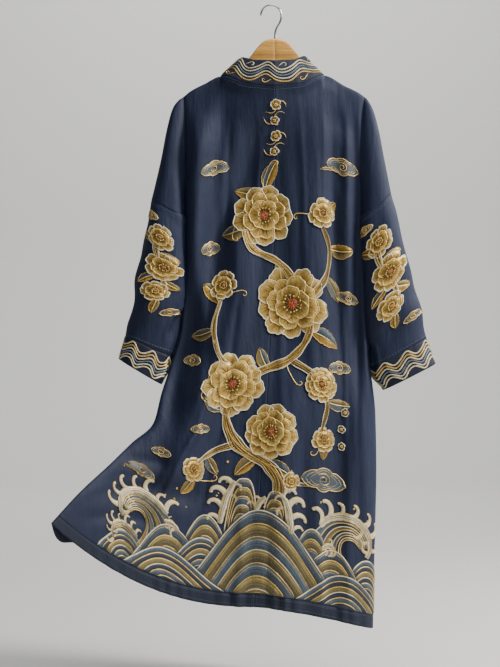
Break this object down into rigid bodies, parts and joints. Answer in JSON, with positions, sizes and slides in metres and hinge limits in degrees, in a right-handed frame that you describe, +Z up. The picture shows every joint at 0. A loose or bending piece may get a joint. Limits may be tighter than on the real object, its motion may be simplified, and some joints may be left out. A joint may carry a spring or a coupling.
{
  "type": "kimono-style robe on a wooden hanger",
  "caption": "Long open robe with wide bag sleeves and a band collar, hung from the hook of a wooden hanger, its left skirt lifted by a draught.",
  "frame": {"origin": "the point inside the top of the hook, on its bearing side, that a nail or rail carries", "axes": "+Z up; +Y the way a wearer would face, so the robe's back faces -Y; +X to the right as seen from behind"},
  "size_m": [0.782, 0.3248, 1.3079],
  "materials": {
    "robe_cloth": "navy cotton satin with faint vertical slubs and gold thread embroidery, low sheen",
    "band_cloth": "navy cotton satin with couched gold wave cords",
    "hem_cloth": "plain matt navy cotton band",
    "hanger_wood": "clear varnished beech, semi-gloss",
    "hook_wire": "bright plated wire"
  },
  "bodies": {
    "root": {"back_left": "robe_cloth", "back_right": "robe_cloth", "front_left": "robe_cloth", "front_right": "robe_cloth", "sleeve_left": "robe_cloth", "sleeve_right": "robe_cloth", "cuff_left": "band_cloth", "cuff_right": "band_cloth", "collar_left": "band_cloth", "collar_right": "band_cloth", "hem_back_left": "hem_cloth", "hem_back_right": "hem_cloth", "hem_front_left": "hem_cloth", "hem_front_right": "hem_cloth", "hanger_wood_left": "hanger_wood", "hanger_wood_right": "hanger_wood", "hanger_hook": "hook_wire"}
  },
  "joints": []
}
